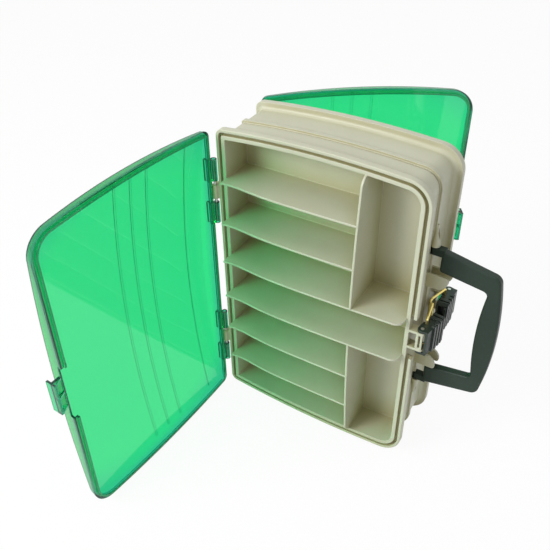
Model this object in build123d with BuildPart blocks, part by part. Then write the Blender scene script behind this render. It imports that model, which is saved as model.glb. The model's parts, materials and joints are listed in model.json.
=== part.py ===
from build123d import *
from math import radians, sqrt, tan
import os

os.makedirs("parts", exist_ok=True)

# Case outline, in mm. X points to the handle, Y to the back, Z up.
case_width = 216.0
case_height = 330.0
end_bow = 6.0
handle_corner = 24.5
hinge_corner = 8.0
smallest_corner = 1.5
tray_depth = 38.5

# Rim of a tray, as insets from the outline
lip_inset = 3.0
groove_inset = 6.2
wall_inset = 7.5
cavity_inset = 10.0
flange_depth = 6.5
groove_depth = 4.8
flange_fillet = 4.0
lip_fillet = 0.7
lip_gap = 25.0

# Seam between the two trays
seam_gap = 0.05
bead_half = 2.2
bead_inset = 5.5
seam_groove_near = 3.0
seam_groove_far = 4.4
seam_groove_depth = 1.1
floor = 2.0

# Dividers
divider_thick = 2.0
shelf_count = 6
end_compartment = 51.25
divider_proud = 7.4
divider_rise = 9.0
divider_end_round = 9.0
divider_side_drop = 3.3
shelf_end_drop = 2.1
shelf_dip_drop = 3.2
shelf_dip_in = 11.0
shelf_swell_drop = 1.5
shelf_swell_in = 33.0
divider_embed = 0.3
cross_from_edge = 60.5
cross_drop = 0.9
cross_end = 10.0

# Lid
lid_gap = 0.4
lid_inset = 0.2
lid_wall = 2.0
lid_apex = 25.6
lid_corner_drop = 20.0
lid_block_depth = 30.0
lid_draft_angle = 8.0
lid_crown_fillet = 2.4
ledge_thick = 1.8
tongue_outer = 3.6
tongue_inner = 5.6
tongue_reach = 1.8
rib_count = 3
rib_from_edge = 74.0
rib_pitch = 20.0
rib_width = 2.4
crease_from_edge = 25.0
crease_width = 1.0
rib_high = 0.6
rib_from_rim = 6.0
notch_half = 31.5
notch_depth = 5.5
front_lid_angle = 92.6
rear_lid_angle = 33.0

# Hinges
hinge_out = 4.1
hinge_ahead = 0.5
hinge_from_end = 68.5
knuckle_radius = 3.3
pin_radius = 1.5
running_gap = 0.05
tray_knuckle_half = 7.5
lid_knuckle_near = 12.5
lid_knuckle_long = 23.5
pin_short = 1.5
pad_depth = 8.5
pad_thick = 2.4
arm_thin = 0.8

# Latch bracket on the tray
pivot_out = 5.0
pivot_back = 4.5
latch_pin_radius = 1.6
bracket_inner = 8.8
bracket_outer = 11.2
bracket_deep = 11.0
slot_plate_back = 0.6
slot_plate_thick = 2.0
slot_plate_root = 4.0
slot_plate_clear = 0.4
slot_half = 7.4
slot_root = 1.6
slot_wide = 2.1

# Latch lever
cheek_inner = 11.6
cheek_outer = 14.1
lever_nose = 4.3
lever_plate_near = 5.0
lever_plate_thick = 2.3
lever_tip = 27.5
lever_heel = 3.0
cheek_tip = 14.5
cheek_tip_low = 1.0
lever_corner_cut = 4.0
grip_rib_pitch = 5.2
grip_rib_count = 4
grip_rib_start = 7.4
grip_rib_wide = 3.1
grip_rib_high = 1.4
grip_rib_wrap = 1.2
front_lever_angle = 9.0
box_lap = 1.5
box_short = 1.0
box_deep = 8.0
box_wall = 1.8
pin_head_out = 0.4

# Bail, measured on the folded lever from its pivot
bail_along = 9.0
bail_in = 1.0
wire_radius = 1.3
bail_half = 20.4
bail_bend = 2.6
front_bail_angle = 109.0
rear_bail_angle = 105.0
bail_clear = 0.35

# Keeper on the lid
keeper_half = 18.2
keeper_lip_out = 7.0
keeper_lip_thick = 2.2
keeper_lip_low = 1.7
keeper_lip_high = 13.0
keeper_shelf_low = 6.1
keeper_shelf_thick = 2.0
keeper_wall = 2.0
keeper_root_in = 3.4
bar_out = 3.5

# Handle
handle_pivot_in = 5.0
leg_inner = 60.0
leg_outer = 82.8
leg_root = 8.0
leg_root_round = 3.0
handle_thick = 9.0
handle_edge = 2.2
handle_reach = 70.0
shoulder_back = 7.0
shoulder_outer = 71.5
grip_wide = 19.5
window_ahead = 4.0
window_outer = 53.0
shoulder_round = 9.0
window_round = 5.0
tang_inner = 76.0
tang_outer = 83.5
tang_half = 3.6
tang_lap = 3.0
tang_end_gap = 0.8
tang_side_gap = 0.9
stub_radius = 2.3
stub_end = 89.0
stub_end_gap = 0.5

# Pivot bosses swelling out of the seam
boss_near = 84.5
boss_far = 107.0
boss_radius = 4.6
boss_far_radius = 1.8
boss_lean = 0.7
lens_near = 91.0
lens_far = 104.5
lens_half = 1.7
lens_depth = 0.2

# Guard ears beside the handle legs
ear_outer = 57.0
ear_inner = 42.0
ear_reach = 21.5
ear_round = 11.0
ear_corner = 3.0
ear_y = 5.0
ear_thick = 2.0

# Overrun of cuts and tolerance of choices between edges
overrun = 1.0
same_place = 0.01

# Derived places
mid = case_height / 2 + end_bow
half_width = case_width / 2
end_radius = half_width**2 / (2 * end_bow) + end_bow / 2
end_centre = case_height / 2 + end_bow - end_radius
corner_reach = sqrt(half_width**2 + (case_height / 2) ** 2)
lid_dome_radius = (corner_reach**2 + lid_corner_drop**2) / (2 * lid_corner_drop)
divider_pitch = (case_height - 2 * end_compartment) / (shelf_count - 1)
cross_x = half_width - cross_from_edge
rim_y = -tray_depth
lid_y = rim_y - lid_gap
hinge_x = -half_width - hinge_out
hinge_y = rim_y - hinge_ahead
hinge_centre = case_height / 2 - hinge_from_end
pivot_x = half_width + pivot_out
pivot_y = rim_y + pivot_back
wall_x = half_width - wall_inset
inner_x = half_width - cavity_inset
floor_y = -floor - seam_gap
pin_bore = pin_radius + running_gap
latch_bore = latch_pin_radius + running_gap
wire_bore = wire_radius + running_gap
hole_x = pivot_x - bail_in
hole_y = pivot_y + bail_along
slot_low = pivot_x - slot_root
slot_high = slot_low + slot_wide
keeper_lip_near = half_width + keeper_lip_out
keeper_lip_far = keeper_lip_near + keeper_lip_thick
keeper_root = half_width - keeper_root_in
bar_x = half_width + bar_out
handle_pivot_x = half_width - handle_pivot_in
grip_outer_bow = handle_pivot_x + handle_reach
grip_inner_bow = grip_outer_bow - grip_wide
shoulder_x = grip_outer_bow - shoulder_back
leg_root_x = handle_pivot_x + leg_root
window_x = grip_inner_bow + window_ahead
shelf_y = lid_y - keeper_shelf_low - keeper_shelf_thick
bar_y = shelf_y - bail_clear - wire_radius
bail_length = sqrt((hole_x - bar_x) ** 2 + (hole_y - bar_y) ** 2)
turned = Location((0, 0, 2 * mid), (180, 0, 0))


def end_z(x, inset=0.0):
    return end_centre + sqrt((end_radius - inset) ** 2 - x**2)


def facing(y):
    return Plane(origin=(0, y, mid), x_dir=(1, 0, 0), z_dir=(0, -1, 0))


def level(z):
    return Plane(origin=(0, 0, mid + z), x_dir=(1, 0, 0), z_dir=(0, 0, 1))


def sideways(x):
    return Plane(origin=(x, 0, mid), x_dir=(0, 1, 0), z_dir=(1, 0, 0))


def about(x, y, degrees):
    return Location((x, y, 0), (0, 0, degrees)) * Location((-x, -y, 0))


def outline(y, inset):
    half = half_width - inset
    corner = end_z(half, inset)
    crest = end_z(0, inset)
    with BuildSketch(facing(y)) as face:
        with BuildLine():
            Line((-half, -corner), (-half, corner))
            ThreePointArc((-half, corner), (0, crest), (half, corner))
            Line((half, corner), (half, -corner))
            ThreePointArc((half, -corner), (0, -crest), (-half, -corner))
        make_face()
        left = face.vertices().group_by(Axis.X)[0]
        fillet(left, max(hinge_corner - inset, smallest_corner))
        right = face.vertices().group_by(Axis.X)[-1]
        fillet(right, max(handle_corner - inset, smallest_corner))
    return face.sketch


def ring(y, outer, inner, depth):
    with BuildPart() as hoop:
        extrude(outline(y, outer), amount=depth)
        extrude(outline(y, inner), amount=depth, mode=Mode.SUBTRACT)
    return hoop.part


def block(low, high):
    with BuildPart() as box:
        with Locations(tuple((a + b) / 2 for a, b in zip(low, high))):
            Box(*[b - a for a, b in zip(low, high)])
    return box.part


def proud(z):
    return divider_proud + divider_rise * (1 - (2 * z / case_height) ** 2)


def side_drop(x):
    return divider_side_drop * (x / inner_x) ** 2


def shelf(z, right):
    left = -inner_x - divider_embed
    crest = rim_y - proud(z)
    front = [
        (left, crest + shelf_end_drop),
        (left + shelf_dip_in, crest + shelf_dip_drop),
        (left + shelf_swell_in, crest + shelf_swell_drop),
        (0, crest),
        (right, crest + side_drop(right)),
    ]
    with BuildPart() as plate:
        with BuildSketch(level(z - divider_thick / 2)) as face:
            with BuildLine():
                Line((right, floor_y + divider_embed), (left, floor_y + divider_embed))
                Line((left, floor_y + divider_embed), front[0])
                Spline(*front)
                Line(front[-1], (right, floor_y + divider_embed))
            make_face()
            if right > cross_x:
                fillet(face.vertices().group_by(Axis.X)[-1].sort_by(Axis.Y)[0], divider_end_round)
        extrude(amount=divider_thick)
    return plate.part


def upright():
    low = divider_pitch / 2
    wall = end_z(cross_x, cavity_inset) + divider_embed
    high = wall - cross_end
    half_way = (low + high) / 2
    front = [(rim_y - proud(z) + cross_drop, z) for z in (low, half_way, high)]
    with BuildPart() as plate:
        with BuildSketch(sideways(cross_x - divider_thick / 2)):
            with BuildLine():
                Line((floor_y + divider_embed, wall), (floor_y + divider_embed, low))
                Line((floor_y + divider_embed, low), front[0])
                arc = ThreePointArc(*front)
                bend = TangentArc(front[2], (rim_y, wall), tangent=arc % 1)
                Line(bend @ 1, (floor_y + divider_embed, wall))
            make_face()
        extrude(amount=divider_thick)
    return plate.part


def knuckle(arms, low, high):
    with BuildPart() as barrel:
        with BuildSketch(level(low)):
            with Locations((hinge_x, hinge_y)):
                Circle(knuckle_radius)
            for corner, opposite in arms:
                with Locations(((corner[0] + opposite[0]) / 2, (corner[1] + opposite[1]) / 2)):
                    Rectangle(abs(opposite[0] - corner[0]), abs(opposite[1] - corner[1]))
        extrude(amount=high - low)
        with BuildSketch(level(low)):
            with Locations((hinge_x, hinge_y)):
                Circle(pin_bore)
        extrude(amount=high - low, mode=Mode.SUBTRACT)
    return barrel.part


def rod(x, y, radius, low, high):
    with BuildPart() as bar:
        with BuildSketch(level(low)):
            with Locations((x, y)):
                Circle(radius)
        extrude(amount=high - low)
    return bar.part


def bracket():
    with BuildPart() as ears:
        for low in (-bracket_outer, bracket_inner):
            with BuildSketch(level(low)):
                with BuildLine():
                    Line((wall_x - divider_embed, rim_y), (pivot_x, rim_y))
                    ThreePointArc(
                        (pivot_x, rim_y),
                        (pivot_x + pivot_back, pivot_y),
                        (pivot_x, pivot_y + pivot_back),
                    )
                    Line((pivot_x, pivot_y + pivot_back), (wall_x - divider_embed, rim_y + bracket_deep))
                    Line((wall_x - divider_embed, rim_y + bracket_deep), (wall_x - divider_embed, rim_y))
                make_face()
            extrude(amount=bracket_outer - bracket_inner)
        front = rim_y + slot_plate_back
        plate_reach = sqrt((lever_plate_near - slot_plate_clear) ** 2 - (pivot_y - front) ** 2)
        add(block(
            (pivot_x - slot_plate_root, front, mid - bracket_inner - divider_embed),
            (pivot_x + plate_reach, front + slot_plate_thick, mid + bracket_inner + divider_embed),
        ))
        add(block(
            (slot_low, front - overrun, mid - slot_half),
            (slot_high, front + slot_plate_thick + overrun, mid + slot_half),
        ), mode=Mode.SUBTRACT)
        add(rod(pivot_x, pivot_y, latch_bore, -bracket_outer, bracket_outer), mode=Mode.SUBTRACT)
    return ears.part


def ear(side):
    root = wall_x - divider_embed
    tip = wall_x + ear_reach
    with BuildPart() as fin:
        with BuildSketch(facing(-ear_y)) as face:
            with BuildLine():
                Polyline(
                    (root, side * ear_outer),
                    (tip, side * ear_outer),
                    (tip, side * ear_inner),
                    (root, side * ear_inner),
                    close=True,
                )
            make_face()
            for z, radius in ((ear_inner, ear_round), (ear_outer, ear_corner)):
                row = face.vertices().filter_by(lambda v: abs(v.Y - side * z) < same_place)
                fillet(row.sort_by(Axis.X)[-1], radius)
        extrude(amount=ear_thick)
    return fin.part


def boss(side):
    with BuildPart() as cup:
        with BuildSketch(level(side * boss_near)):
            with Locations((handle_pivot_x, 0)):
                Circle(boss_radius)
        with BuildSketch(level(side * boss_far)):
            with Locations((handle_pivot_x - boss_lean, 0)):
                Circle(boss_far_radius)
        loft()
        lens_middle = side * (lens_near + lens_far) / 2
        with BuildSketch(sideways(half_width - bead_inset + lens_depth)):
            with BuildLine():
                ThreePointArc((0, side * lens_near), (-lens_half, lens_middle), (0, side * lens_far))
                ThreePointArc((0, side * lens_far), (lens_half, lens_middle), (0, side * lens_near))
            make_face()
        extrude(amount=2 * boss_radius, mode=Mode.SUBTRACT)
        ends = sorted((side * boss_near, side * boss_far))
        add(block(
            (0, -seam_gap, mid + ends[0] - overrun),
            (case_width, 2 * boss_radius, mid + ends[1] + overrun),
        ), mode=Mode.SUBTRACT)
    return cup.part


# Front tray, rim forward, seam at the back
with BuildPart() as front_tray:
    extrude(outline(rim_y, wall_inset), amount=rim_y + seam_gap)
    extrude(outline(rim_y, 0), amount=-flange_depth)
    under_rim = front_tray.faces().filter_by(Axis.Y).filter_by(
        lambda f: abs(f.center().Y - rim_y - flange_depth) < same_place
    )
    fillet(under_rim.face().inner_wires()[0].edges(), flange_fillet)
    lip = front_tray.faces().sort_by(Axis.Y)[0].outer_wire().edges()
    fillet(lip, lip_fillet)
    extrude(outline(-seam_gap, bead_inset), amount=bead_half)
    add(
        ring(
            -seam_groove_near,
            wall_inset - seam_groove_depth,
            wall_inset + seam_groove_depth,
            seam_groove_far - seam_groove_near,
        ),
        mode=Mode.SUBTRACT,
    )
    add(ring(rim_y, lip_inset, groove_inset, -groove_depth), mode=Mode.SUBTRACT)
    extrude(outline(rim_y, cavity_inset), amount=rim_y - floor_y, mode=Mode.SUBTRACT)
    add(
        block(
            (half_width - groove_inset, rim_y - overrun, mid - lip_gap),
            (case_width, rim_y + flange_depth + flange_fillet, mid + lip_gap),
        ),
        mode=Mode.SUBTRACT,
    )
    for count in range(shelf_count):
        step = count - (shelf_count - 1) / 2
        full = abs(step) < 1
        add(shelf(step * divider_pitch, inner_x + divider_embed if full else cross_x))
    add(upright())
    add(mirror(upright(), about=level(0), mode=Mode.PRIVATE))
    add(bracket())
    for side in (-1, 1):
        centre = side * hinge_centre
        add(knuckle(
            [
                (
                    (hinge_x - knuckle_radius + arm_thin, hinge_y),
                    (-half_width - lid_inset, rim_y + flange_depth),
                ),
                ((-half_width - 2 * lid_inset, rim_y), (-half_width + lip_inset / 2, rim_y + flange_depth)),
            ],
            centre - tray_knuckle_half,
            centre + tray_knuckle_half,
        ))
        tang_ends = sorted((side * tang_inner, side * tang_outer))
        pocket_half = tang_half + tang_side_gap
        add(
            block(
                (handle_pivot_x - pocket_half, -pocket_half, mid + tang_ends[0] - tang_end_gap),
                (case_width, pocket_half, mid + tang_ends[1] + tang_end_gap),
            ),
            mode=Mode.SUBTRACT,
        )
        add(ear(side))
        add(boss(side))
        bore_ends = sorted((side * tang_outer, side * (stub_end + stub_end_gap)))
        add(rod(handle_pivot_x, 0, stub_radius + running_gap, *bore_ends), mode=Mode.SUBTRACT)
front_tray.part.label = "front_tray"
export_step(front_tray.part, "parts/front_tray.step")

with BuildPart() as rear_tray:
    with Locations(turned):
        add(front_tray.part)
rear_tray.part.label = "rear_tray"
export_step(rear_tray.part, "parts/rear_tray.step")


def dome(apex):
    with BuildPart() as ball:
        with Locations((0, lid_y - apex + lid_dome_radius, mid)):
            Sphere(lid_dome_radius)
    return ball.part


def lid_block(inset, apex):
    far_inset = inset + lid_block_depth * tan(radians(lid_draft_angle))
    with BuildPart() as body:
        loft([outline(lid_y, inset), outline(lid_y - lid_block_depth, far_inset)], ruled=True)
        add(dome(apex), mode=Mode.INTERSECT)
    return body.part


def lid_ribs():
    with BuildPart() as ribs:
        strips = [(rib_from_edge - half_width + k * rib_pitch, rib_width) for k in range(rib_count)]
        strips.append((crease_from_edge - half_width, crease_width))
        for x, wide in strips:
            add(block(
                (x - wide / 2, lid_y - lid_block_depth, 0),
                (x + wide / 2, lid_y - lid_wall, case_height),
            ))
        add(lid_block(lid_inset + rib_from_rim, lid_apex + rib_high), mode=Mode.INTERSECT)
        add(dome(lid_apex - lid_wall / 2), mode=Mode.SUBTRACT)
    return ribs.part


def keeper():
    low = lid_y - keeper_lip_low
    with BuildPart() as hook:
        add(block(
            (keeper_root, shelf_y, mid - keeper_half),
            (keeper_lip_far, shelf_y + keeper_shelf_thick, mid + keeper_half),
        ))
        add(block(
            (keeper_lip_near, lid_y - keeper_lip_high, mid - keeper_half),
            (keeper_lip_far, low, mid + keeper_half),
        ))
        for z in (-keeper_half, -keeper_wall / 2, keeper_half - keeper_wall):
            with BuildSketch(level(z)):
                with BuildLine():
                    Polyline(
                        (keeper_root, shelf_y + keeper_shelf_thick),
                        (keeper_lip_far, shelf_y + keeper_shelf_thick),
                        (keeper_lip_far, low),
                        (keeper_lip_near, low),
                        close=True,
                    )
                make_face()
            extrude(amount=keeper_wall)
    return hook.part


# Lid in its shut place over the front tray
with BuildPart() as shut_lid:
    add(lid_block(lid_inset, lid_apex))
    crown = shut_lid.faces().filter_by(GeomType.SPHERE).face().outer_wire().edges()
    fillet(crown, lid_crown_fillet)
    add(lid_block(lid_inset + lid_wall, lid_apex - lid_wall), mode=Mode.SUBTRACT)
    add(ring(lid_y, lid_inset, tongue_inner, ledge_thick))
    add(ring(lid_y - ledge_thick, tongue_outer, tongue_inner, -tongue_reach - ledge_thick))
    add(lid_ribs())
    add(
        block(
            (inner_x - cavity_inset, lid_y - notch_depth, mid - notch_half),
            (case_width, lid_y + 2 * tongue_reach, mid + notch_half),
        ),
        mode=Mode.SUBTRACT,
    )
    add(keeper())
    skirt_x = -half_width + lid_inset
    for side in (-1, 1):
        centre = side * hinge_centre
        for low in (centre - lid_knuckle_near - lid_knuckle_long, centre + lid_knuckle_near):
            add(
                rod(hinge_x, hinge_y, knuckle_radius, low, low + lid_knuckle_long),
                mode=Mode.SUBTRACT,
            )
            add(knuckle(
                [
                    (
                        (hinge_x, hinge_y - knuckle_radius),
                        (skirt_x + lid_wall / 2, lid_y),
                    ),
                    (
                        (skirt_x - pad_thick, hinge_y - pad_depth),
                        (skirt_x + lid_wall / 2, lid_y),
                    ),
                ],
                low,
                low + lid_knuckle_long,
            ))

with BuildPart() as front_lid:
    with Locations(about(hinge_x, hinge_y, -front_lid_angle)):
        add(shut_lid.part)
front_lid.part.label = "front_lid"
export_step(front_lid.part, "parts/front_lid.step")

with BuildPart() as rear_lid:
    with Locations(about(hinge_x, -hinge_y, rear_lid_angle) * turned):
        add(shut_lid.part)
rear_lid.part.label = "rear_lid"
export_step(rear_lid.part, "parts/rear_lid.step")

# Hinge pins
pin_half = lid_knuckle_near + lid_knuckle_long - pin_short
pin_places = {
    "front_upper_hinge_pin": (hinge_y, hinge_centre),
    "front_lower_hinge_pin": (hinge_y, -hinge_centre),
    "rear_upper_hinge_pin": (-hinge_y, hinge_centre),
    "rear_lower_hinge_pin": (-hinge_y, -hinge_centre),
}
for name, (y, z) in pin_places.items():
    with BuildPart() as hinge_pin:
        with Locations((hinge_x, y, mid + z)):
            Cylinder(pin_radius, 2 * pin_half)
    hinge_pin.part.label = name
    export_step(hinge_pin.part, f"parts/{name}.step")

plate_low = pivot_x + lever_plate_near
box_low = plate_low - box_deep


def lever_face(x, grown=0):
    with BuildSketch(sideways(x)) as face:
        with BuildLine():
            Polyline(
                (pivot_y - lever_heel, -cheek_outer),
                (pivot_y + lever_tip - lever_corner_cut, -cheek_outer),
                (pivot_y + lever_tip, -cheek_outer + lever_corner_cut),
                (pivot_y + lever_tip, cheek_outer),
                (pivot_y - lever_heel, cheek_outer),
                close=True,
            )
        make_face()
        if grown:
            offset(amount=grown, kind=Kind.INTERSECTION)
    return face.sketch


def lever_ribs():
    top = plate_low + lever_plate_thick + grip_rib_high
    wrap_half = cheek_outer + grip_rib_wrap
    with BuildPart() as ribs:
        for count in range(grip_rib_count):
            rib_y = pivot_y + grip_rib_start + count * grip_rib_pitch
            wraps = grip_rib_start + count * grip_rib_pitch > cheek_tip
            add(block(
                (box_low if wraps else plate_low, rib_y, mid - wrap_half),
                (top, rib_y + grip_rib_wide, mid + wrap_half),
            ))
        extrude(lever_face(box_low, grip_rib_wrap), amount=top - box_low, mode=Mode.INTERSECT)
        add(block(
            (box_low, pivot_y, mid - cheek_inner),
            (plate_low, pivot_y + lever_tip, mid + cheek_inner),
        ), mode=Mode.SUBTRACT)
    return ribs.part


def lever_box():
    with BuildPart() as box:
        extrude(lever_face(box_low), amount=box_deep + divider_embed)
        add(block(
            (box_low, pivot_y + cheek_tip - box_lap, mid - cheek_outer),
            (plate_low + divider_embed, pivot_y + lever_tip - box_short, mid + cheek_outer),
        ), mode=Mode.INTERSECT)
        add(block(
            (box_low + box_wall, pivot_y + cheek_tip - box_lap + box_wall, mid - cheek_inner),
            (plate_low, pivot_y + lever_tip, mid + cheek_inner),
        ), mode=Mode.SUBTRACT)
    return box.part


# Latch lever, folded flat on the front tray
with BuildPart() as folded_lever:
    for low in (-cheek_outer, cheek_inner):
        with BuildSketch(level(low)):
            with BuildLine():
                Line((pivot_x - lever_nose, pivot_y), (pivot_x - lever_nose, pivot_y + bail_along))
                Line(
                    (pivot_x - lever_nose, pivot_y + bail_along),
                    (pivot_x + cheek_tip_low, pivot_y + cheek_tip),
                )
                Line((pivot_x + cheek_tip_low, pivot_y + cheek_tip), (plate_low, pivot_y + cheek_tip))
                Line((plate_low, pivot_y + cheek_tip), (plate_low, pivot_y - lever_heel))
                Line((plate_low, pivot_y - lever_heel), (pivot_x, pivot_y - lever_nose))
                RadiusArc((pivot_x, pivot_y - lever_nose), (pivot_x - lever_nose, pivot_y), lever_nose)
            make_face()
        extrude(amount=cheek_outer - cheek_inner)
    extrude(lever_face(plate_low), amount=lever_plate_thick)
    add(lever_ribs())
    add(lever_box())
    add(rod(pivot_x, pivot_y, latch_bore, -cheek_outer, cheek_outer), mode=Mode.SUBTRACT)
    add(rod(hole_x, hole_y, wire_bore, -cheek_outer, cheek_outer), mode=Mode.SUBTRACT)

with BuildPart() as front_latch_lever:
    with Locations(about(pivot_x, pivot_y, -front_lever_angle)):
        add(folded_lever.part)
front_latch_lever.part.label = "front_latch_lever"
export_step(front_latch_lever.part, "parts/front_latch_lever.step")

with BuildPart() as rear_latch_lever:
    with Locations(turned):
        add(folded_lever.part)
rear_latch_lever.part.label = "rear_latch_lever"
export_step(rear_latch_lever.part, "parts/rear_latch_lever.step")

# Pins of the latch levers
latch_pin_half = cheek_outer + pin_head_out
for name, y in (("front_latch_pin", pivot_y), ("rear_latch_pin", -pivot_y)):
    with BuildPart() as latch_pin:
        with Locations((pivot_x, y, mid)):
            Cylinder(latch_pin_radius, 2 * latch_pin_half)
    latch_pin.part.label = name
    export_step(latch_pin.part, f"parts/{name}.step")

# Wire bail, straight back from its lever
wire_end = cheek_inner + running_gap
bail_far = hole_y + bail_length
with BuildPart() as straight_bail:
    with BuildLine() as wire:
        FilletPolyline(
            (hole_x, hole_y, mid + wire_end),
            (hole_x, hole_y, mid + bail_half),
            (hole_x, bail_far, mid + bail_half),
            (hole_x, bail_far, mid - bail_half),
            (hole_x, hole_y, mid - bail_half),
            (hole_x, hole_y, mid - wire_end),
            radius=bail_bend,
        )
    with BuildSketch(Plane(origin=wire.line @ 0, z_dir=wire.line % 0)):
        Circle(wire_radius)
    sweep()

# Bails folded in against the wall, each on its lever
square_angle = 90.0
with BuildPart() as front_bail:
    lever_place = about(pivot_x, pivot_y, -front_lever_angle)
    with Locations(lever_place * about(hole_x, hole_y, front_bail_angle - square_angle)):
        add(straight_bail.part)
front_bail.part.label = "front_bail"
export_step(front_bail.part, "parts/front_bail.step")

with BuildPart() as rear_bail:
    with Locations(turned * about(hole_x, hole_y, rear_bail_angle - square_angle)):
        add(straight_bail.part)
rear_bail.part.label = "rear_bail"
export_step(rear_bail.part, "parts/rear_bail.step")


# Handle, legs outward over the seam, held by a tang and a stub at the outside of each leg
with BuildPart() as handle:
    with BuildSketch(facing(handle_thick / 2)) as frame_face:
        with BuildLine():
            Line((leg_root_x, leg_outer), (shoulder_x, shoulder_outer))
            ThreePointArc((shoulder_x, shoulder_outer), (grip_outer_bow, 0), (shoulder_x, -shoulder_outer))
            Line((shoulder_x, -shoulder_outer), (leg_root_x, -leg_outer))
            Line((leg_root_x, -leg_outer), (leg_root_x, -leg_inner))
            Line((leg_root_x, -leg_inner), (window_x, -window_outer))
            ThreePointArc((window_x, -window_outer), (grip_inner_bow, 0), (window_x, window_outer))
            Line((window_x, window_outer), (leg_root_x, leg_inner))
            Line((leg_root_x, leg_inner), (leg_root_x, leg_outer))
        make_face()
        rounds = {leg_root_x: leg_root_round, shoulder_x: shoulder_round, window_x: window_round}
        for x, radius in rounds.items():
            corners = frame_face.vertices().filter_by(lambda v: abs(v.X - x) < same_place)
            fillet(corners, radius)
    extrude(amount=handle_thick)
    fillet(handle.faces().filter_by(Axis.Y).edges(), handle_edge)
    for side in (-1, 1):
        tang_ends = sorted((side * tang_inner, side * tang_outer))
        add(rod(handle_pivot_x, 0, tang_half, *tang_ends))
        add(block(
            (handle_pivot_x, -tang_half, mid + tang_ends[0]),
            (leg_root_x + tang_lap, tang_half, mid + tang_ends[1]),
        ))
        stub_ends = sorted((side * tang_inner, side * stub_end))
        add(rod(handle_pivot_x, 0, stub_radius, *stub_ends))
handle.part.label = "handle"
export_step(handle.part, "parts/handle.step")
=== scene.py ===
import json
import math
import bpy
from mathutils import Matrix, Vector

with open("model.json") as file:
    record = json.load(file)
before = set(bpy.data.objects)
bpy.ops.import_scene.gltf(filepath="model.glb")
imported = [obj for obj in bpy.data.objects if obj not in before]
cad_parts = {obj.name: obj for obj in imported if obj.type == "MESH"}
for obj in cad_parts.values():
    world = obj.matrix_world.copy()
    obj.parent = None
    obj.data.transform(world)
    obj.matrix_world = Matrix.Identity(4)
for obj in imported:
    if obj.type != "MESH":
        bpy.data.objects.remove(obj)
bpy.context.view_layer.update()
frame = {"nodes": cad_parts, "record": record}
scene = bpy.context.scene
parts = frame["nodes"]
joints = frame["record"]["behaviour"]["joints"]


def rgb(r, g, b):
    """A colour as read on a screen, for the sockets."""
    def linear(level):
        level /= 255
        return level / 12.92 if level <= 0.04045 else ((level + 0.055) / 1.055) ** 2.4
    return (linear(r), linear(g), linear(b), 1.0)


# Image and camera, fitted to the photograph's rim lines and outlines. The place is in metres.
image_side = 550.0
focal_pixels = 706.91
shift_right_pixels = 21.63
shift_up_pixels = -9.89
sensor_width_mm = 36.0
camera_place = Vector((0.25862, -0.51849, 0.63068))
camera_right = Vector((0.83742, 0.54566, -0.03121))
camera_up = Vector((-0.30839, 0.51887, 0.79728))
camera_ahead = Vector((-0.45124, 0.65804, -0.60280))

# Floor, background and lamps, in metres and watts
white = (1.0, 1.0, 1.0, 1.0)
paper_grey = (0.9, 0.9, 0.9, 1.0)
floor_half = 20.0
floor_gap = 0.0005
floor_glow = 0.93
fill_strength = 0.5
backdrop_strength = 1.0
backdrop_rays = ("Is Camera Ray", "Is Glossy Ray", "Is Transmission Ray")
lamp_aim = Vector((0.0, -0.05, 0.171))
lamps = {
    "key": {"place": (-0.85, -1.4, 1.15), "size": 0.9, "power": 25.0},
    "top": {"place": (0.1, -0.1, 2.2), "size": 1.4, "power": 7.0},
}

# Spans of a noise or a mask
whole = (0.0, 1.0)
falling = (1.0, 0.0)
middle = (0.3, 0.7)

# Clear plastic: tints of a panel, of the thicker rim, of passing lamp light and of the inside
panel_tint = (0.05, 1.0, 0.325, 1.0)
rim_tint = (0.06, 0.68, 0.36, 1.0)
lamp_tint = (0.31, 0.86, 0.56, 1.0)
depth_tint = (0.30, 0.767, 0.76, 1.0)
depth_density = 300.0
rim_depth = (0.004, 0.012)
clear_ior = 1.45

# Clear plastic: its haze, slow ripple, polish and the painted shade lines along its edges, standing in for
# refraction there
haze_tint = (0.12, 0.42, 0.40, 1.0)
haze_share = 0.07
ripple_scale = 9.0
ripple_strength = 0.15
ripple_depth = 0.0015
polish_scale = 60.0
polish_span = (0.35, 0.7)
polish_roughness = (0.02, 0.07)
painted_edge_shade_colour = rgb(4, 66, 44)
painted_edge_shade_radius = 0.0005
painted_edge_shade_turn = (0.05, 0.35)
painted_edge_shade_share = 0.9

# Moulded plastic: clouds, painted shade in hollows, wear and painted highlight on edges, grain and gloss
plastic_ior = 1.48
dull_plastic_ior = 1.36
cloud_scale = 14.0
hollow_shade_span = (0.32, 0.88)
sky_samples = 8
worn_highlight_turn = (0.02, 0.30)
worn_highlight_share = 0.7
edge_samples = 6
grain_strength = 0.5
gloss_scale = 90.0
gloss_spread = 0.06

# Drawn metal: streaks along the length, and how they change its roughness
streak_stretch = (1.0, 1.0, 0.1)
streak_scale = 2500.0
streak_span = (0.35, 0.65)
streak_strength = 0.3
streak_depth = 0.0001
streak_smoother = 0.06
streak_rougher = 0.1


# Node trees

def tree_of(owner):
    owner.use_nodes = True
    tree = owner.node_tree
    tree.nodes.clear()
    return tree


def node(tree, kind, settings=None, **inputs):
    """A node with its properties and inputs. A socket is linked, and i2 names input 2."""
    made = tree.nodes.new(kind)
    for name, value in (settings or {}).items():
        setattr(made, name, value)
    for name, value in inputs.items():
        socket = made.inputs[int(name[1:]) if name[1:].isdigit() else name.replace("_", " ")]
        if isinstance(value, bpy.types.NodeSocket):
            tree.links.new(value, socket)
        else:
            socket.default_value = value
    return made


def material(name):
    """A material, its empty tree and the object's own coordinates."""
    made = bpy.data.materials.new(name)
    tree = tree_of(made)
    return made, tree, node(tree, "ShaderNodeTexCoord").outputs["Object"]


def noise(tree, place, scale, detail=2.0, rough=0.5):
    made = node(tree, "ShaderNodeTexNoise", Vector=place, Scale=scale, Detail=detail, Roughness=rough)
    return made.outputs["Fac"]


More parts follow.
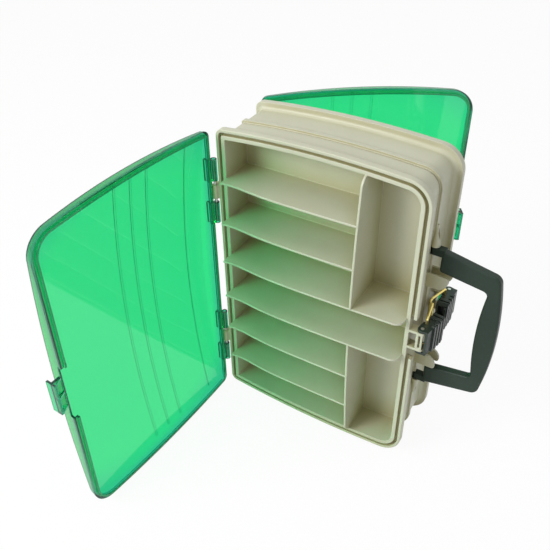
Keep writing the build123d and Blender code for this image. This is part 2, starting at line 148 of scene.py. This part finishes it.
def remap(tree, value, source, target):
    """The value moved from the source span to the target span, and held within it."""
    made = node(
        tree, "ShaderNodeMapRange", i0=value, i1=source[0], i2=source[1], i3=target[0], i4=target[1]
    )
    return made.outputs["Result"]


def blend_colours(tree, factor, first, second):
    made = node(tree, "ShaderNodeMix", {"data_type": "RGBA"}, i0=factor, i6=first, i7=second)
    return made.outputs[2]


def blend_shaders(tree, factor, first, second):
    return node(tree, "ShaderNodeMixShader", i0=factor, i1=first, i2=second).outputs[0]


def vector_math(tree, operation, first, second):
    return node(tree, "ShaderNodeVectorMath", {"operation": operation}, i0=first, i1=second).outputs


def edges(tree, radius, turn):
    """1 along edges, 0 on flat faces, and the rounded normal."""
    rounded = node(tree, "ShaderNodeBevel", {"samples": edge_samples}, Radius=radius).outputs["Normal"]
    flat = node(tree, "ShaderNodeNewGeometry").outputs["Normal"]
    along = vector_math(tree, "DOT_PRODUCT", rounded, flat)["Value"]
    return remap(tree, along, (1.0 - turn[0], 1.0 - turn[1]), whole), rounded


# Materials

def moulded(name, colour, deep, hollow_shade, worn_highlight, rough, grain, grain_depth, edge, shade_reach, ior=plastic_ior):
    """Satin plastic: clouded colour, painted shade in hollows, edges lighter by wear and painted
    highlight, and a fine spark texture.
    """
    made, tree, place = material(name)
    cloud = noise(tree, place, cloud_scale, detail=4.0, rough=0.6)
    tone = blend_colours(tree, remap(tree, cloud, middle, whole), colour, deep)
    # Painted shade: the colour darkens towards hollow_shade where ambient occlusion finds corners and
    # recesses.
    shade = node(tree, "ShaderNodeAmbientOcclusion", {"samples": sky_samples}, Distance=shade_reach)
    tone = blend_colours(tree, remap(tree, shade.outputs["AO"], hollow_shade_span, falling), tone, hollow_shade)
    # Wear and painted highlight: edges lighten towards worn_highlight, for rubbing and for light catching
    # the rounded edges.
    rim, rounded = edges(tree, edge, worn_highlight_turn)
    tone = blend_colours(tree, remap(tree, rim, whole, (0.0, worn_highlight_share)), tone, worn_highlight)
    spark = noise(tree, place, grain, detail=3.0, rough=0.6)
    bump = node(
        tree, "ShaderNodeBump", Strength=grain_strength, Distance=grain_depth, Height=spark, Normal=rounded
    )
    gloss = noise(tree, place, gloss_scale, detail=3.0)
    shader = node(
        tree,
        "ShaderNodeBsdfPrincipled",
        Base_Color=tone,
        Roughness=remap(tree, gloss, middle, (rough - gloss_spread, rough + gloss_spread)),
        Normal=bump.outputs["Normal"],
        IOR=ior,
    )
    node(tree, "ShaderNodeOutputMaterial", Surface=shader.outputs[0])
    return made


def clear_green(name, hinge, outward):
    """Clear green plastic, denser in the rim, whose plane goes through hinge, square to outward, with
    painted shade lines along its edges.
    """
    made, tree, place = material(name)
    away = vector_math(tree, "SUBTRACT", place, hinge)["Vector"]
    depth = vector_math(tree, "DOT_PRODUCT", away, outward)["Value"]
    tint = blend_colours(tree, remap(tree, depth, rim_depth, falling), panel_tint, rim_tint)
    ripple = noise(tree, place, ripple_scale, detail=1.0)
    bump = node(tree, "ShaderNodeBump", Strength=ripple_strength, Distance=ripple_depth, Height=ripple)
    polish = noise(tree, place, polish_scale, detail=4.0)
    glass = node(
        tree,
        "ShaderNodeBsdfPrincipled",
        Base_Color=tint,
        Roughness=remap(tree, polish, polish_span, polish_roughness),
        Normal=bump.outputs["Normal"],
        IOR=clear_ior,
        Transmission_Weight=1.0,
    )
    haze = node(tree, "ShaderNodeBsdfDiffuse", Color=haze_tint)
    cloudy = blend_shaders(tree, haze_share, glass.outputs[0], haze.outputs[0])
    # Painted shade: dark lines along the edges stand in for refraction and internal reflection there.
    edge = edges(tree, painted_edge_shade_radius, painted_edge_shade_turn)[0]
    edge_shade_mask = remap(tree, edge, whole, (0.0, painted_edge_shade_share))
    dark = node(tree, "ShaderNodeBsdfDiffuse", Color=painted_edge_shade_colour)
    edge_shaded = blend_shaders(tree, edge_shade_mask, cloudy, dark.outputs[0])
    clear = node(tree, "ShaderNodeBsdfTransparent", Color=lamp_tint)
    to_lamp = node(tree, "ShaderNodeLightPath").outputs["Is Shadow Ray"]
    inside = node(tree, "ShaderNodeVolumeAbsorption", Color=depth_tint, Density=depth_density)
    node(
        tree,
        "ShaderNodeOutputMaterial",
        Surface=blend_shaders(tree, to_lamp, edge_shaded, clear.outputs[0]),
        Volume=inside.outputs[0],
    )
    return made


def lid_finish(lid, shut_limit, side):
    """The clear green of a lid on its side of the case, shut at one limit of its hinge's range."""
    hinge = next(joint for joint in joints if joint["child"] == lid)
    turned = math.radians(abs(hinge["range_deg"][shut_limit]))
    outward = (-math.sin(turned), side * math.cos(turned), 0.0)
    return clear_green(f"clear_green_{lid}", hinge["pos_m"], outward)


def metal(name, colour, dull, rough):
    """Drawn metal with fine streaks."""
    made, tree, place = material(name)
    streaks = node(tree, "ShaderNodeMapping", Vector=place, Scale=streak_stretch)
    drawn = noise(tree, streaks.outputs["Vector"], streak_scale, detail=3.0)
    tone = blend_colours(tree, remap(tree, drawn, streak_span, whole), colour, dull)
    bump = node(tree, "ShaderNodeBump", Strength=streak_strength, Distance=streak_depth, Height=drawn)
    shader = node(
        tree,
        "ShaderNodeBsdfPrincipled",
        Base_Color=tone,
        Roughness=remap(tree, drawn, middle, (rough - streak_smoother, rough + streak_rougher)),
        Normal=bump.outputs["Normal"],
        Metallic=1.0,
    )
    node(tree, "ShaderNodeOutputMaterial", Surface=shader.outputs[0])
    return made


# In each moulding below, the hollow colour is painted shade and the worn colour is wear and painted
# highlight.
beige = moulded(
    "beige_moulding",
    colour=rgb(198, 199, 177),
    deep=rgb(191, 191, 168),
    hollow_shade=rgb(176, 170, 128),
    worn_highlight=rgb(226, 227, 208),
    rough=0.40,
    grain=1600.0,
    grain_depth=0.00006,
    edge=0.0012,
    shade_reach=0.035,
)
bottle = moulded(
    "dark_handle",
    colour=rgb(38, 55, 45),
    deep=rgb(32, 48, 39),
    hollow_shade=rgb(24, 34, 28),
    worn_highlight=rgb(62, 78, 69),
    rough=0.42,
    grain=1300.0,
    grain_depth=0.0001,
    edge=0.0014,
    shade_reach=0.01,
    ior=dull_plastic_ior,
)
lever_green = moulded(
    "dark_lever",
    colour=rgb(34, 50, 42),
    deep=rgb(28, 42, 35),
    hollow_shade=rgb(8, 14, 11),
    worn_highlight=rgb(96, 108, 101),
    rough=0.34,
    grain=1600.0,
    grain_depth=0.00006,
    edge=0.0006,
    shade_reach=0.004,
)
brass = metal("brass_wire", colour=rgb(246, 230, 150), dull=rgb(224, 202, 112), rough=0.34)
steel = metal("steel_pin", colour=rgb(232, 233, 232), dull=rgb(190, 192, 192), rough=0.34)

finish_of = {
    "front_tray": beige,
    "rear_tray": beige,
    "front_lid": lid_finish("front_lid", shut_limit=0, side=-1),
    "rear_lid": lid_finish("rear_lid", shut_limit=1, side=1),
    "handle": bottle,
    "front_latch_lever": lever_green,
    "rear_latch_lever": lever_green,
    "front_bail": brass,
    "rear_bail": brass,
}
for name, part in parts.items():
    part.data.materials.clear()
    part.data.materials.append(finish_of.get(name, steel))


# Camera

camera_data = bpy.data.cameras.new("camera")
camera_data.sensor_fit = "HORIZONTAL"
camera_data.sensor_width = sensor_width_mm
camera_data.lens = focal_pixels * sensor_width_mm / image_side
camera_data.shift_x = shift_right_pixels / image_side
camera_data.shift_y = shift_up_pixels / image_side
camera = bpy.data.objects.new("camera", camera_data)
turn = Matrix((camera_right, camera_up, -camera_ahead)).transposed().to_4x4()
camera.matrix_world = Matrix.Translation(camera_place) @ turn
scene.collection.objects.link(camera)
scene.camera = camera


# Floor, background and light

def seen(tree):
    """1 on the kinds of ray that show the backdrop to the eye."""
    path = node(tree, "ShaderNodeLightPath")
    total = path.outputs[backdrop_rays[0]]
    for kind in backdrop_rays[1:]:
        most = node(tree, "ShaderNodeMath", {"operation": "MAXIMUM"}, i0=total, i1=path.outputs[kind])
        total = most.outputs[0]
    return total


def studio():
    """A world that is white to the eye and a soft fill light on the object."""
    made = bpy.data.worlds.new("studio")
    tree = tree_of(made)
    fill = node(tree, "ShaderNodeBackground", Color=white, Strength=fill_strength)
    backdrop = node(tree, "ShaderNodeBackground", Color=white, Strength=backdrop_strength)
    sky = blend_shaders(tree, seen(tree), fill.outputs[0], backdrop.outputs[0])
    node(tree, "ShaderNodeOutputWorld", Surface=sky)
    return made


def paper():
    """Nearly white to the eye, with a share of matt paper that keeps the object's shadow."""
    made = bpy.data.materials.new("paper")
    tree = tree_of(made)
    matt = node(tree, "ShaderNodeBsdfDiffuse", Color=paper_grey)
    glow = node(tree, "ShaderNodeEmission", Color=white, Strength=backdrop_strength)
    share = node(tree, "ShaderNodeMath", {"operation": "MULTIPLY"}, i0=seen(tree), i1=floor_glow)
    lit = blend_shaders(tree, share.outputs[0], matt.outputs[0], glow.outputs[0])
    node(tree, "ShaderNodeOutputMaterial", Surface=lit)
    return made


scene.world = studio()

floor_mesh = bpy.data.meshes.new("floor")
corners = [(x * floor_half, y * floor_half, 0) for x, y in ((-1, -1), (1, -1), (1, 1), (-1, 1))]
floor_mesh.from_pydata(corners, [], [(0, 1, 2, 3)])
floor_mesh.materials.append(paper())
floor = bpy.data.objects.new("floor", floor_mesh)
floor.location.z = -floor_gap
scene.collection.objects.link(floor)

for name, lamp in lamps.items():
    light = bpy.data.lights.new(name, "AREA")
    light.shape = "DISK"
    light.size = lamp["size"]
    light.energy = lamp["power"]
    stand = bpy.data.objects.new(name, light)
    stand.location = lamp["place"]
    stand.rotation_euler = (lamp_aim - Vector(lamp["place"])).to_track_quat("-Z", "Y").to_euler()
    scene.collection.objects.link(stand)

scene.view_settings.view_transform = "Standard"
